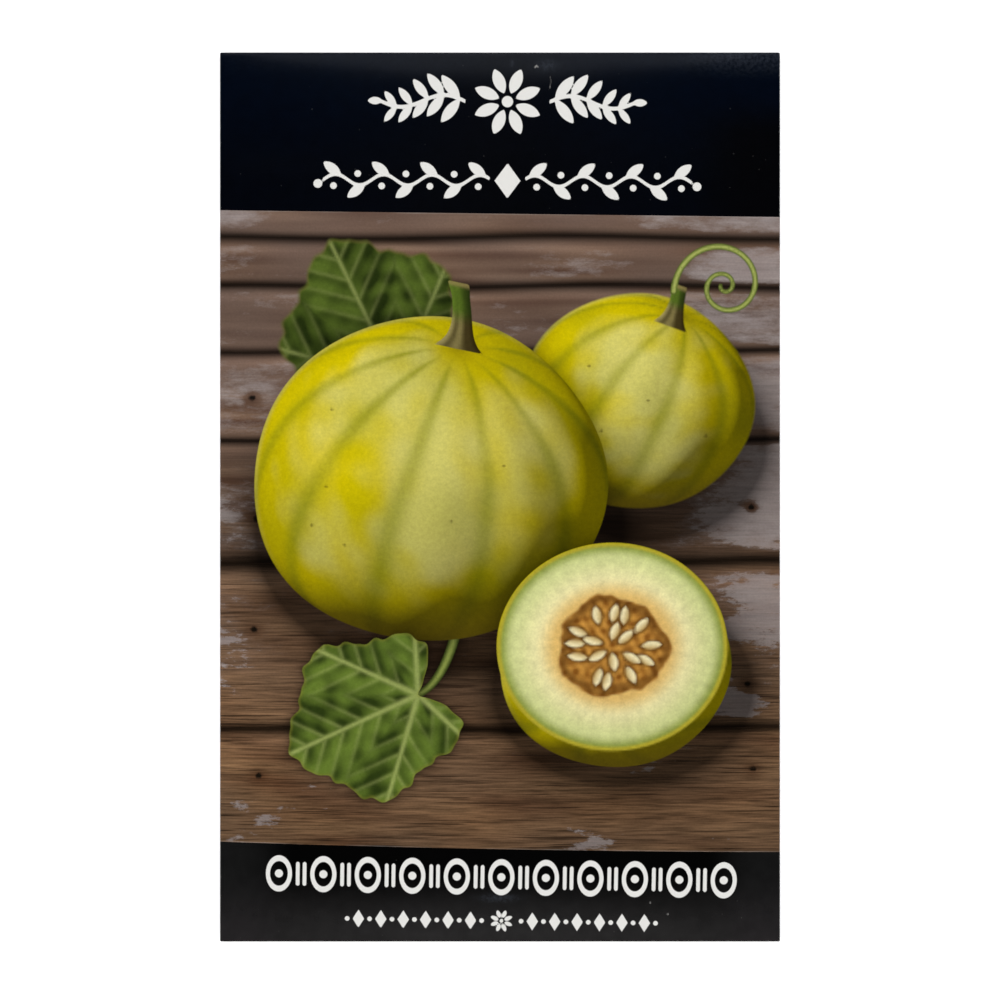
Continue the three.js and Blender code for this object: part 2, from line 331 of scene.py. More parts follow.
def add(tree, kind, settings, inputs):
    """Adds a shader node. inputs maps a socket's name or number to a value or to another node's output."""
    made = tree.nodes.new("ShaderNode" + kind)
    for name, value in settings.items():
        setattr(made, name, value)
    for key, value in inputs.items():
        if isinstance(value, bpy.types.NodeSocket):
            tree.links.new(value, made.inputs[key])
        else:
            made.inputs[key].default_value = value
    return made


def blend(a, b, share):
    """From colour a to colour b by share, one share for each point."""
    return a + (b - a) * np.clip(share, 0, 1)[..., None]


def new_material(name):
    """An empty node material. Gives it, its tree and its Principled shader."""
    material = bpy.data.materials.new(name)
    material.use_nodes = True
    tree = material.node_tree
    return material, tree, tree.nodes["Principled BSDF"]


print("a swatch of #808080 is", linear("#808080").round(3), "linear")

# %% [markdown]
# ## Coated paper
# The sheet is heavy white art paper: wood fibre under a thin layer of china clay, rolled smooth. The clay
# gives a soft, even gloss. The pulp beneath shows as a faint cloudiness and a very low relief. On the back,
# a plain panel of thin grey rules is printed for the gardener's notes. The rules are a stripe that repeats
# along the packet, kept to a rectangle of the back panel by three more yes-or-no numbers.

# %% Make the paper
CLOUD_SIZE = 6  # of the pulp's cloudy patches, which paper makers call look-through
FIBRE_SIZE = 0.25
NOTE_LINES = 6.5  # distance between the rules on the back
NOTE_STROKE = 0.3
NOTE_MIDDLE = (-5, 0)
NOTE_HALF = (29, 40)  # half the panel's width and height

paper_finish, tree, shader = new_material("coated_art_paper")
place = add(tree, "TexCoord", {}, {}).outputs["Object"]
clouds = add(tree, "TexNoise", {}, {"Vector": place, "Scale": 1 / (CLOUD_SIZE * MM), "Detail": 4})
fibres = add(tree, "TexNoise", {}, {"Vector": place, "Scale": 1 / (FIBRE_SIZE * MM), "Detail": 2})
white = {MIX_FACTOR: clouds.outputs["Fac"], MIX_A: rgba("#E6E4DC"), MIX_B: rgba("#F1EFE9")}
white = add(tree, "Mix", COLOURS, white).outputs[MIXED]

across, along, upwards = add(tree, "SeparateXYZ", {}, {0: place}).outputs
pitch = add(tree, "Math", {"operation": "PINGPONG"}, {0: along, 1: NOTE_LINES / 2 * MM}).outputs[0]
rules = 1.0
for value, middle, reach in (
    (pitch, 0, NOTE_STROKE / 2),
    (across, NOTE_MIDDLE[0], NOTE_HALF[0]),
    (along, NOTE_MIDDLE[1], NOTE_HALF[1]),
    (upwards, 0, RIM / 2),
):
    within = {0: value, 1: middle * MM, 2: reach * MM}
    within = add(tree, "Math", {"operation": "COMPARE"}, within).outputs[0]
    rules = add(tree, "Math", TIMES, {0: rules, 1: within}).outputs[0]
ruled = add(tree, "Mix", COLOURS, {MIX_FACTOR: rules, MIX_A: white, MIX_B: rgba("#8E918F")})
tree.links.new(ruled.outputs[MIXED], shader.inputs["Base Color"])
relief = {"Strength": 0.25, "Distance": 0.01 * MM, "Height": fibres.outputs["Fac"]}
relief = add(tree, "Bump", {}, relief)
tree.links.new(relief.outputs["Normal"], shader.inputs["Normal"])
shader.inputs["Roughness"].default_value = 0.5
shader.inputs["Coat Weight"].default_value = 0.35
shader.inputs["Coat Roughness"].default_value = 0.3
print(f"{paper_finish.name}: {len(tree.nodes)} nodes")

# %% [markdown]
# ## The folded sheet
# The paper could be built as boxes for panels, but its edges, laps and creases are what make it read as
# paper. So it is the folding function on a grid of about a millimetre, closer at the creases. Solidify then
# gives the film its thickness inwards, which also makes the cut edges.

# %% Fold the sheet
back_reach = HALF_WIDTH + WIDTH / 2 - BACK_SETBACK
columns = round_the_folds(1, back_reach, SIDE_FLAP - CREASE)
bottom_rows = -HALF_HEIGHT - beyond_the_fold(BOTTOM_FLAP - CREASE)
top_rows = HALF_HEIGHT + beyond_the_fold(TOP_FLAP - CREASE)
rows = np.concatenate([bottom_rows[::-1], evenly(-HALF_HEIGHT, HALF_HEIGHT, 1), top_rows])
packet_paper = make_piece(
    "packet_paper",
    [(columns[None, :], rows[:, None])],
    PAPER / 2 - INK,
    lambda s, r: ({}, None),
    paper_finish,
)
thickness = packet_paper.modifiers.new("paper thickness", "SOLIDIFY")
thickness.thickness = (PAPER - INK) * MM
thickness.offset = -1
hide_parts("paper_sheet")
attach(packet_paper, "root")

# %% [markdown]
# ## Where the print meets
# The front has a dark band above, a picture, and a dark band below. The sheet went through the press and
# the folder a little askew, so the picture's edges aren't square with the folds: they run down to the right
# and bend slightly. The bands are printed over the picture's edges by a hair, which printers call a trap.
# Even so, the two wet inks draw apart where they meet, and a hairline of the picture there is paler.

# %% The picture's two edges
TRAP = 0.15  # how far the picture runs on under each band


def picture_top(s):
    """Height of the picture's upper edge on the front: a straight slope and a slight bow."""
    return 41.65 - 0.0122 * s + 0.1 * (s / HALF_WIDTH) ** 2


def picture_bottom(s):
    """Height of its lower edge, with another slope and bow."""
    return -51.74 - 0.01855 * s + 0.215 * (s / HALF_WIDTH) ** 2


print(f"picture {picture_top(0) - picture_bottom(0):.1f} mm high in the middle")

# %% [markdown]
# ## Drawing with signed distances
# A printed shape can be drawn by a number at each point: how far inside its outline the point lies,
# negative outside. The larger of two such numbers joins two shapes and the smaller one cuts one with the
# other. A grid keeps these distances as an attribute, and the material cuts them off at zero, so an outline
# stays sharp between nodes.

# %% The outlines that everything is drawn with
def turned(x, y, at, degrees):
    """Coordinates as seen from the point at, with the x axis turned by degrees."""
    turn = math.radians(degrees)
    x, y = x - at[0], y - at[1]
    return math.cos(turn) * x + math.sin(turn) * y, math.cos(turn) * y - math.sin(turn) * x


def disc(x, y, radius):
    """The radius less the distance from the middle."""
    return radius - np.hypot(x, y)


def vesica(x, y, length, breadth):
    """A pointed oval from the origin along x: what two equal discs share."""
    radius = (length**2 + breadth**2) / (4 * breadth)
    return radius - np.hypot(x - length / 2, np.abs(y) + radius - breadth / 2)


def bar(x, y, half_length, stroke):
    """An upright stroke with round ends."""
    return stroke / 2 - np.hypot(x, np.maximum(np.abs(y) - half_length, 0))


def lozenge(x, y, half_width, half_height):
    """1 - |x| / half width - |y| / half height, over the steepness of that slope."""
    slope = math.hypot(1 / half_width, 1 / half_height)
    return (1 - np.abs(x) / half_width - np.abs(y) / half_height) / slope


def flower(x, y, petals, radius, breadth):
    """Pointed petals round a button."""
    drawn = disc(x, y, 0.16 * radius)
    for k in range(petals):
        u, v = turned(x, y, (0, 0), (k + 0.5) * 360 / petals)
        drawn = np.maximum(drawn, vesica(u - 0.25 * radius, v, 0.75 * radius, breadth))
    return drawn


print("a flower's middle lies", round(float(flower(0.0, 0.0, 8, 5.2, 1.75)), 2), "mm inside its outline")

# %% [markdown]
# ## The bands' ornament
# White ornament stands in the dark bands: a leafy spray and a garland above, a row of beads and reels and a
# chain of lozenges below. All four are old printer's ornaments. They aren't white ink. The dark ink leaves
# them out and the white paper shows. Each is drawn for the right half and mirrored by taking the size of x.

# %% The four ornaments
def spray(x, y):
    """A flower between two waving stems, with pairs of leaves that shrink outwards."""
    start, length, swing = 6.2, 12.6, 0.9
    drawn = flower(x, y, 8, 5.2, 1.75)
    x = np.abs(x)
    wave = swing * np.sin(2 * math.pi * (x - start) / length)
    stems = np.minimum(0.28 - np.abs(y - wave), length / 2 - np.abs(x - start - length / 2))
    drawn = np.maximum(drawn, stems)
    for k in range(5):
        along = (k + 0.35) / 5.4
        foot = (start + along * length, swing * math.sin(2 * math.pi * along))
        size = 4.6 - 2.1 * along
        for lean in (52, -52):
            u, v = turned(x, y, foot, lean)
            drawn = np.maximum(drawn, vesica(u, v, size, 0.36 * size))
    u, v = turned(x, y, (start + length - 0.4, 0), 0)
    return np.maximum(drawn, vesica(u, v, 2.2, 1.1))


def garland(x, y):
    """A lozenge between two waving stems, with a leaf outside each bend and a berry inside it."""
    reach, first, bend = 27.2, 4, 3.55
    drawn = lozenge(x, y, 1.9, 2.6)
    x = np.abs(x)
    wave = 0.8 * np.cos(math.pi * (x - first) / bend)
    stems = np.minimum(0.22 - 0.8 * np.abs(y - wave), reach / 2 - 1.3 - np.abs(x - reach / 2 - 1.3))
    drawn = np.maximum(drawn, stems)
    for k in range(7):
        side = 1 - 2 * (k % 2)
        middle = first + k * bend
        u, v = turned(x, y, (middle - 0.8, side * 0.6), side * 38)
        drawn = np.maximum(drawn, vesica(u, v, 3.3, 1.45))
        drawn = np.maximum(drawn, disc(x - middle - 0.3, y + side * 0.9, 0.5))
    return np.maximum(drawn, disc(x - reach - 0.7, y + 0.6, 0.65))


def beads_and_reels(x, y):
    """Open oval beads, each with a dot inside, and two upright reels between each and the next."""
    beads, length = 11, 69.4
    pitch = length / (beads - 0.4)
    cell = (x + pitch / 2) % pitch - pitch / 2
    oval = 0.36 - np.abs(np.hypot(cell / 0.72, y) - 2.25) * 0.85
    drawn = np.maximum(oval, disc(cell, y, 0.6))
    gap = pitch / 2 - np.abs(cell)
    drawn = np.maximum(drawn, bar(gap - 0.5, y, 1.5, 0.55))
    return np.minimum(drawn, length / 2 - np.abs(x))


def lozenge_chain(x, y):
    """A flower between two rows of lozenges with a dot after each."""
    pitch, first, last = 3.3, 2.9, 22.7
    drawn = flower(x, y, 8, 1.75, 0.6)
    x = np.abs(x)
    cell = (x - first) % pitch - pitch / 2
    row = np.maximum(lozenge(cell, y, 0.85, 1.35), disc(pitch / 2 - np.abs(cell), y, 0.36))
    row = np.minimum(row, (last - first) / 2 + 0.5 - np.abs(x - (first + last) / 2))
    return np.maximum(drawn, row)


FAR_OUT = -9.0  # a distance inside that is outside every outline
ORNAMENTS = (  # what is drawn, its middle, and its tilt in degrees, as the picture's nearer edge leans
    (spray, (1.1, 58.2), -0.5),
    (garland, (1.1, 46.5), -0.5),
    (beads_and_reels, (0.2, -55.9), -0.9),
    (lozenge_chain, (0.2, -62.4), -0.9),
)
ROW_HALF = 6.5  # no row of ornament is higher than twice this


def band_ornament(s, r):
    """Distance inside whichever ornament is nearest."""
    drawn = np.full(s.shape, FAR_OUT)
    for ornament, middle, tilt in ORNAMENTS:
        u, v = turned(s, r, middle, tilt)
        drawn = np.where(np.abs(v) < ROW_HALF, np.maximum(drawn, ornament(u, v)), drawn)
    return drawn


print("rows of ornament:", len(ORNAMENTS))

# %% [markdown]
# ## Ink and varnish
# The bands are a solid of dark ink under a gloss varnish, as on most seed packets. The header's ink leans
# to blue and the footer's to brown. Ink over clay coating dries in tiny clouds, and handling leaves fine
# dust, scuffs and specks of bare paper along the folds. Varnish is a clear coat of IOR about 1.5. The ink
# beneath it has no surface of its own against the air, so its specular level is 0 and the deep black stays
# black. Towards the ends the bands are lighter: the curving paper catches the studio's light, and a sheen is
# painted into the ink there as well, along the header's top fold and over the footer's end and sides.

# %% Make the band ink
INK_CLOUD = 1.8  # size of the clouds in a solid of ink
SCUFF_SIZE = 0.45  # of the flecks in a scuff
FLAKE_SIZE = 0.35  # of what ink loses on a fold
DUST_SPACING = 2.2
DUST_SIZE = 0.16
VARNISH_WAVE = 1.4  # of the faint orange peel that varnish dries with

band_finish, tree, shader = new_material("varnished_dark_ink")
place = add(tree, "TexCoord", {}, {}).outputs["Object"]
print_field = add(tree, "Attribute", {"attribute_name": "band"}, {}).outputs
wear_and_sheen_field = add(tree, "Attribute", {"attribute_name": "wear_and_sheen"}, {}).outputs
scuffs_and_sheen_amount, cracked, _ = add(tree, "SeparateColor", {}, {0: wear_and_sheen_field["Color"]}).outputs
noises = [
    add(tree, "TexNoise", {}, {"Vector": place, "Scale": 1 / (size * MM), "Detail": detail}).outputs["Fac"]
    for size, detail in ((INK_CLOUD, 5), (SCUFF_SIZE, 8), (FLAKE_SIZE, 3))
]
clouds, scuffs, flakes = noises
dust = add(tree, "TexVoronoi", {}, {"Vector": place, "Scale": 1 / (DUST_SPACING * MM)}).outputs
speck_size = add(tree, "Math", TIMES, {0: dust["Color"], 1: DUST_SIZE / DUST_SPACING}).outputs[0]
speck = add(tree, "Math", {"operation": "LESS_THAN"}, {0: dust["Distance"], 1: speck_size}).outputs[0]

depth = {"Value": clouds, "From Min": 0.3, "From Max": 0.7, "To Min": 0.87, "To Max": 1.15}
depth = add(tree, "MapRange", {}, depth).outputs["Result"]
colour = add(tree, "VectorMath", SCALED, {0: print_field["Color"], "Scale": depth}).outputs[0]
scuff_share = {"Value": scuffs, "From Min": 0.38, "From Max": 0.72, "To Min": 0.02, "To Max": 0.1}
scuff_share = add(tree, "MapRange", {}, scuff_share).outputs["Result"]
flaked = add(tree, "Math", TIMES, {0: flakes, 1: cracked}).outputs[0]
flake_share = {"Value": flaked, "From Min": 0.58, "From Max": 0.68, "To Max": 0.12}
mark_share = {"Value": wear_and_sheen_field["Alpha"], "From Min": -0.1, "From Max": 0.14, "To Max": 0.55}
white_share = {"Value": print_field["Alpha"], "From Min": -0.06, "From Max": 0.06}
for share, swatch in (
    # bluish grey of the scuffs, which along the top fold is also a painted sheen
    (add(tree, "Math", TIMES, {0: scuff_share, 1: scuffs_and_sheen_amount}), "#6A7280"),
    (add(tree, "MapRange", {}, flake_share), "#B9B7B2"),
    (add(tree, "MapRange", {}, mark_share), "#C4C2BE"),
    (add(tree, "Math", TIMES, {0: speck, 1: 0.035}), "#9C9A96"),
    (add(tree, "MapRange", {"interpolation_type": "SMOOTHSTEP"}, white_share), "#DCDBD7"),
):
    cover = {MIX_FACTOR: share.outputs[0], MIX_A: colour, MIX_B: rgba(swatch)}
    colour = add(tree, "Mix", COLOURS, cover).outputs[MIXED]
tree.links.new(colour, shader.inputs["Base Color"])


def varnish(tree, shader, place, cracked):
    """A gloss coat with a faint orange peel, dull where it is cracked, over ink with no gloss of its own."""
    ends = {"Value": cracked, "To Min": 0.8, "To Max": 0.0}
    kept = add(tree, "MapRange", {}, ends).outputs["Result"]
    tree.links.new(kept, shader.inputs["Coat Weight"])
    peel = add(tree, "TexNoise", {}, {"Vector": place, "Scale": 1 / (VARNISH_WAVE * MM), "Detail": 2})
    relief = add(tree, "Bump", {}, {"Strength": 0.5, "Distance": 0.004 * MM, "Height": peel.outputs["Fac"]})
    tree.links.new(relief.outputs["Normal"], shader.inputs["Coat Normal"])
    shader.inputs["Roughness"].default_value = 0.5
    shader.inputs["Specular IOR Level"].default_value = 0.0
    shader.inputs["Coat Roughness"].default_value = 0.13


varnish(tree, shader, place, cracked)
print(f"{band_finish.name}: {len(tree.nodes)} nodes")

# %% [markdown]
# ## The bands on the packet
# The bands' ink runs over the creases: round the sides for a millimetre, and over the ends on to the two
# flaps, because a solid is always printed past the fold so that no white shows there. The grid's nodes are
# a fifth of a millimetre apart or a little more, which is close enough for the finest petal.

# %% The two bands' grids
BAND_STEP = 0.22
WRAP = 1.0  # how far the print runs on past a side fold
TRIM = 0.25  # bare paper along a flap's cut edge

band_columns = round_the_folds(BAND_STEP, WRAP, WRAP)
header_share = evenly(0, 1, BAND_STEP / (HALF_HEIGHT - picture_top(0)))[:, None]
header_front = picture_top(band_columns)
header_front = header_front + header_share * (HALF_HEIGHT - header_front)
header_flap = top_rows[top_rows < HALF_HEIGHT + FOLD + TOP_FLAP - CREASE - TRIM][:, None]
header_grid = np.concatenate([header_front, header_flap + 0 * band_columns])

footer_share = evenly(1, 0, BAND_STEP / (HALF_HEIGHT + picture_bottom(0)))[:, None]
footer_front = picture_bottom(band_columns)
footer_front = footer_front + footer_share * (-HALF_HEIGHT - footer_front)
footer_flap = bottom_rows[bottom_rows > -HALF_HEIGHT - FOLD - BOTTOM_FLAP + CREASE + TRIM][::-1, None]
footer_grid = np.concatenate([footer_flap + 0 * band_columns, footer_front])
print("nodes in the header's grid:", header_grid.size, "and in the footer's:", footer_grid.size)

# %% Specks, scratches and wear
DUST_SPECKS = (  # across, along, radius
    (22.1, -59.7, 0.12),
    (24.7, -61.4, 0.13),
    (32.7, -61.4, 0.03),
    (35.6, -62.0, 0.05),
)
SCRATCHES = (  # middle, direction in degrees, half the length, stroke, bend
    ((7.48, 60.95), 85, 0.92, 0.065, 0.17),
    ((5.28, 63.4), 45, 0.19, 0.2, 0),
    ((5.52, 63.38), -42, 0.1, 0.15, 0),
)
SMEARS = (  # middle, half the width, half the height, how much paler the smear makes the ink
    ((-0.2, -59.0), 2.4, 0.5, 1.6),
    ((6.9, 63.6), 1.5, 0.8, 1.1),
    ((1.8, 63.8), 0.25, 0.6, 0.9),
    ((0.7, 60.6), 2.2, 0.15, 0.5),
)
CRACK_REACH = 0.3


def cracking(s, r):
    """1 on a fold, where the print cracks, falling off from there as exp(-(distance / reach)^2)."""
    to_end = np.abs(HALF_HEIGHT + QUARTER / 2 - np.abs(r))
    to_side = np.abs(HALF_WIDTH + QUARTER / 2 - np.abs(s))
    return np.exp(-((np.minimum(to_end, to_side) / CRACK_REACH) ** 2))


def band_wear_and_sheen(s, r):
    """Scuffs and painted sheen, cracking on folds, a spare zero, and the distance inside a speck or scratch.
    """
    inward = HALF_HEIGHT - r
    # Scuffs along the top fold, most towards the right corner. Their amount also paints a sheen there.
    corners = 0.4 + 2.6 * soft(s, 24, 37)
    scuffs_and_sheen = 0.5 * soft(inward, 4.2, -0.8) * corners
    for at, half_width, half_height, depth in SMEARS:
        u, v = (s - at[0]) / half_width, (r - at[1]) / half_height
        scuffs_and_sheen = scuffs_and_sheen + depth * np.exp(-(u**2) - v**2)
    marks = np.full(s.shape, FAR_OUT)
    for x, y, radius in DUST_SPECKS:
        marks = np.maximum(marks, disc(s - x, r - y, radius))
    for at, way, half_length, stroke, bend in SCRATCHES:
        u, v = turned(s, r, at, way)
        marks = np.maximum(marks, bar(v - bend * u**2, u, half_length, stroke))
    return np.column_stack([scuffs_and_sheen, cracking(s, r), 0 * s, marks])


print("specks:", len(DUST_SPECKS), "scratches:", len(SCRATCHES), "smears:", len(SMEARS))

# %% Print the bands
def band_fields(s, r):
    """Ink colour, with the distance inside an ornament as a fourth number, then scuffs with their painted
    sheen, cracking and marks. Then the look. The header leans to blue, least in its middle and lower right;
    its blue grows towards the top fold as a painted tint of the sheen, and a painted sheen lies along that
    fold. The footer has a painted sheen that grows towards its end and its sides."""
    # Part of the blue is the ink's own. Its growth towards the top fold is a painted bluish tint of the
    # sheen.
    blue = (0.34 + 0.5 * soft(r, 46, 62)) * (1 - 0.85 * soft(s, 25, 37) * soft(r, 60, 53))
    blue = blue * (1 - 0.6 * np.exp(-((s / 16) ** 2)))
    header = blend(linear("#020203"), linear("#010612"), blue)
    # A painted sheen along the top fold, brightest in the middle.
    painted_top_sheen = np.exp(-(((HALF_HEIGHT + QUARTER / 2 - r) / CRACK_REACH) ** 2))
    painted_top_sheen = painted_top_sheen * (0.3 + 0.7 * np.exp(-((s / 26) ** 2)))
    header = header + painted_top_sheen[:, None] * linear("#232326")
    # The footer is painted paler towards its end and its sides: a painted sheen.
    down, aside = soft(r, -54, -67), soft(np.abs(s), 30, 38)
    middle = blend(linear("#020202"), linear("#1F1E1E"), soft(r, -54.5, -64.5))
    painted_sheen_at_sides = blend(linear("#121212"), linear("#232122"), down)
    colour = np.where((r > 0)[:, None], header, middle + (painted_sheen_at_sides - middle) * aside[:, None])
    ornament, wear_and_sheen = band_ornament(s, r), band_wear_and_sheen(s, r)
    look = np.column_stack([soft(ornament, -0.3, 0.3), soft(wear_and_sheen[:, 3], -0.3, 0.3)])
    return {"band": np.column_stack([colour, ornament]), "wear_and_sheen": wear_and_sheen}, look


band_ink = make_piece(
    "band_ink",
    [(band_columns[None, :], footer_grid), (band_columns[None, :], header_grid)],
    PAPER / 2,
    band_fields,
    band_finish,
)
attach(band_ink, "root")

# %% [markdown]
# ## Random fields
# Skin, leaves and weathered wood all need a smooth unevenness. A sum of sine waves that all have about one
# length but random directions and phases gives one, in two or three dimensions, and the seed makes it the
# same each run.

# %% A smooth random field
SEED = 7
draws = np.random.default_rng(SEED)


def mottle(places, size, waves=18):
    """The sum of sine waves about size long in random directions, scaled to lie mostly between -1 and 1."""
    ways = draws.normal(size=(waves, places.shape[-1]))
    ways /= np.linalg.norm(ways, axis=1, keepdims=True)
    rates = 2 * math.pi / (size * draws.uniform(0.7, 1.5, waves))
    phases = draws.uniform(0, 2 * math.pi, waves)
    total = sum(np.sin(rate * (places @ way) + phase) for way, rate, phase in zip(ways, rates, phases))
    return total / math.sqrt(2 * waves)


print("every draw starts from seed", SEED)

# %% [markdown]
# ## The picture: weathered boards
# The picture is a plain still life of the packet's kind of fruit: ribbed round melons, a cut one and some
# leaves, on old boards. Each thing in it is a layer with a colour and a distance inside its outline,
# painted from back to front. The boards come first. They run across and look narrower with distance, with
# grey paint left in places, and dark in the gaps and under the fruit. How much paint is left is kept as a
# number of its own, so that the material can break its edge up into flakes finer than the grid.

# %% The boards
BOARD_GAPS = (38.2, 31.0, 21.5, 8.5, -9.5, -34.0)
NAILS = (
    (-36.5, 14.6),
    (-35.8, -3.2),
    (-36.2, -19.5),
    (-35.5, -41.0),
    (37.0, -1.5),
    (36.4, -27.5),
    (37.2, -40.0),
)


def boards(x, y):
    """Wood colour and how near it is. Then four more numbers: the light on the paint, the cracking, the
    distance from the nearer band, and the paint that is left."""
    plank = sum((y < gap).astype(float) for gap in BOARD_GAPS)
    near = soft(y, 28, -38)
    streaks = mottle(np.stack([x / 16 + 9 * plank, y / (1.3 + 1.4 * near)], -1), 1.6)
    patches = mottle(np.stack([x / 14 + 5 * plank, y / 7], -1), 1.7)
    colour = blend(linear("#4A3226"), linear("#7D6555"), 0.5 + 0.42 * streaks)
    colour = blend(colour, linear("#66544B"), 0.5 + 0.4 * patches)
    colour = colour * (1 + 0.16 * np.sin(2.4 * plank + 1))[:, None]
    paint = 0.55 * mottle(np.stack([x / 15 + 3 * plank, y / 6], -1), 1.8)
    paint = paint + 1.05 * soft(x, 14, 42) * soft(y, -50, -5) + 0.5 * soft(x, -22, -42) - 0.66
    for gap in BOARD_GAPS:
        size = 0.55 + 0.02 * (gap + 50) * (gap < 0) + 0.008 * (gap > 0) * gap
        below = gap - y + 0.25 * np.sin(x / 9 + gap)
        colour = colour * (1 + 0.35 * np.exp(-(((below - 2.2 * size) / size) ** 2)))[:, None]
        groove = np.exp(-((below / size) ** 2))
        colour = blend(colour, linear("#120C08"), 0.97 * groove)
        paint = paint - 2 * groove
    for at in NAILS:
        away = np.hypot(x - at[0], (y - at[1]) / 0.8)
        colour = blend(colour, linear("#3A2014"), 0.6 * np.exp(-((away / 1.3) ** 2)))
        colour = blend(colour, linear("#171310"), soft(away, 0.62, 0.42))
        paint = paint - 1.5 * np.exp(-((away / 1.2) ** 2))
    colour = colour * blend(np.array([0.93, 0.93, 0.92]), np.array([1.0, 0.88, 0.62]), near)
    shade = 1 - 0.3 * soft(y, -34, -56)
    from_band = np.minimum(picture_top(x) - y, y - picture_bottom(x))
    wood = np.column_stack([colour * shade[:, None], near])
    return wood, np.column_stack([shade, cracking(x, y), from_band, paint])


print("boards:", len(BOARD_GAPS) + 1, "nails:", len(NAILS))

# %% [markdown]
# ## The picture: whole melons
# A whole melon is drawn as a ball: from a point's place in the outline follows the direction that the skin
# faces there. Turned into the fruit's own axes, that gives a longitude, and ribs are waves in longitude
# that run together at the stalk. Light from the upper left, irregular pale patches where the skin faces the
# eye, olive in the furrows and a few dark specks do the rest.

# %% A ribbed melon
LIGHT = np.array([-0.42, 0.5, 0.76])  # the way to the light in the picture
SKIN_YELLOW = linear("#BCAB02")
SKIN_PALE = linear("#C0BA6A")
SKIN_GREEN = linear("#7C7E10")
SKIN_DARK = linear("#4A3B0E")


def melon(x, y, centre, radii, stalk_end, ribs):
    """Colour and distance inside the outline of a ball of these radii whose stalk end faces stalk_end."""
    u, v = (x - centre[0]) / radii[0], (y - centre[1]) / radii[1]
    around = np.arctan2(v, u)
    rim = 1 + 0.012 * np.cos(3 * around + 1) + 0.008 * np.cos(5 * around)
    share = np.hypot(u, v) / rim
    inside = np.minimum(share, 1)
    facing = np.stack([u, v, 0 * u], -1) / np.maximum(share, 1e-6)[:, None]
    facing = facing / rim[:, None] * inside[:, None]
    facing[:, 2] = np.sqrt(1 - inside**2)

    pole = np.array(stalk_end) / np.linalg.norm(stalk_end)
    east = np.cross(pole, (0, 0, 1))
    east /= np.linalg.norm(east)
    north = np.cross(pole, east)
    longitude = np.arctan2(facing @ north, facing @ east)
    height = facing @ pole
    girth = np.sqrt(np.maximum(1 - height**2, 1e-6))
    wave = ribs * longitude + 0.35 * mottle(facing, 1.6)
    along_ribs = -np.sin(longitude)[:, None] * east + np.cos(longitude)[:, None] * north
    ribbed = facing - (0.15 * np.sin(wave) * soft(girth, 0.05, 0.7))[:, None] * along_ribs
    lit = np.maximum(ribbed @ (LIGHT / np.linalg.norm(LIGHT)), 0)

    patches = mottle(facing, 0.8)
    spots = mottle(facing, 0.24)
    furrow = ((1 + np.cos(wave)) / 2) ** 6 * soft(girth, 0.02, 0.3)
    pale = soft(facing[:, 2] + 0.24 * patches + 0.12 * spots, 0.5, 1.12)
    colour = blend(SKIN_YELLOW, SKIN_PALE, 0.85 * pale)
    colour = blend(colour, SKIN_GREEN, 0.1 + 0.2 * mottle(facing, 0.55) + 0.5 * furrow)
    colour = colour * (0.22 + 0.98 * lit**0.8)[:, None]
    colour = blend(colour, SKIN_DARK * 0.8, 0.75 * soft(-facing[:, 1] - 0.25 * facing[:, 2], 0.35, 1.05))
    colour = blend(colour, SKIN_DARK, 0.6 * np.exp(-girth / 0.12) * (height > 0))
    for at in draws.uniform(-0.7, 0.7, (7, 2)):
        away = np.hypot(u - at[0], v - at[1]) * min(radii)
        colour = blend(colour, SKIN_DARK * 0.5, 0.65 * soft(away, 0.32, 0.12))
    edge = (1 - share) * min(radii)
    fuzz = np.exp(-((edge / 0.35) ** 2)) * soft(facing @ LIGHT, 0.1, 0.7)
    return blend(colour, SKIN_PALE * 0.8, 0.5 * fuzz), edge


def stalk(x, y, foot, lean, length, width):
    """A corky stub: two curved sides that flare at the foot, and a cut top."""
    u, v = turned(x, y, foot, 90 - lean)
    across = v - 0.025 * u**2
    half = width * (0.42 + 0.5 * np.exp(-u / 1.6) + 0.07 * soft(u, length - 2.5, length))
    edge = np.minimum(half - np.abs(across), np.minimum(u + 0.6, length - u))
    grooves = 0.5 + 0.5 * np.sin(across / half * 7 + 1)
    cork_light = soft(across / half, -1.0, 0.9) * (0.3 + 0.7 * grooves)
    green_light = soft(across / half, -1.0, 0.7) * (0.7 + 0.3 * grooves)
    cork = blend(linear("#2A2008"), linear("#8E8250"), cork_light)
    green = blend(linear("#222C0C"), linear("#566C22"), green_light)
    colour = blend(cork, green, soft(u, 0.3 * length, 0.6 * length))
    colour = blend(colour, linear("#8A7A4A"), soft(u, length - 0.9, length - 0.2) * 0.7)
    return colour, edge


print("skin from", SKIN_DARK.round(3), "to", SKIN_PALE.round(3), "linear")

# %% [markdown]
# ## The picture: the cut melon
# The cut half shows its section to the eye: a thin skin, firm flesh that turns from green to cream, and a
# ragged hollow full of pulp and two loose rings of seeds. All of it follows from the distance to the rim
# and to the hollow.

# %% A cut melon
SEED_RINGS = ((0.33, 12, 0), (0.17, 6, 30))  # distance out as a share of the radius, seeds, first direction


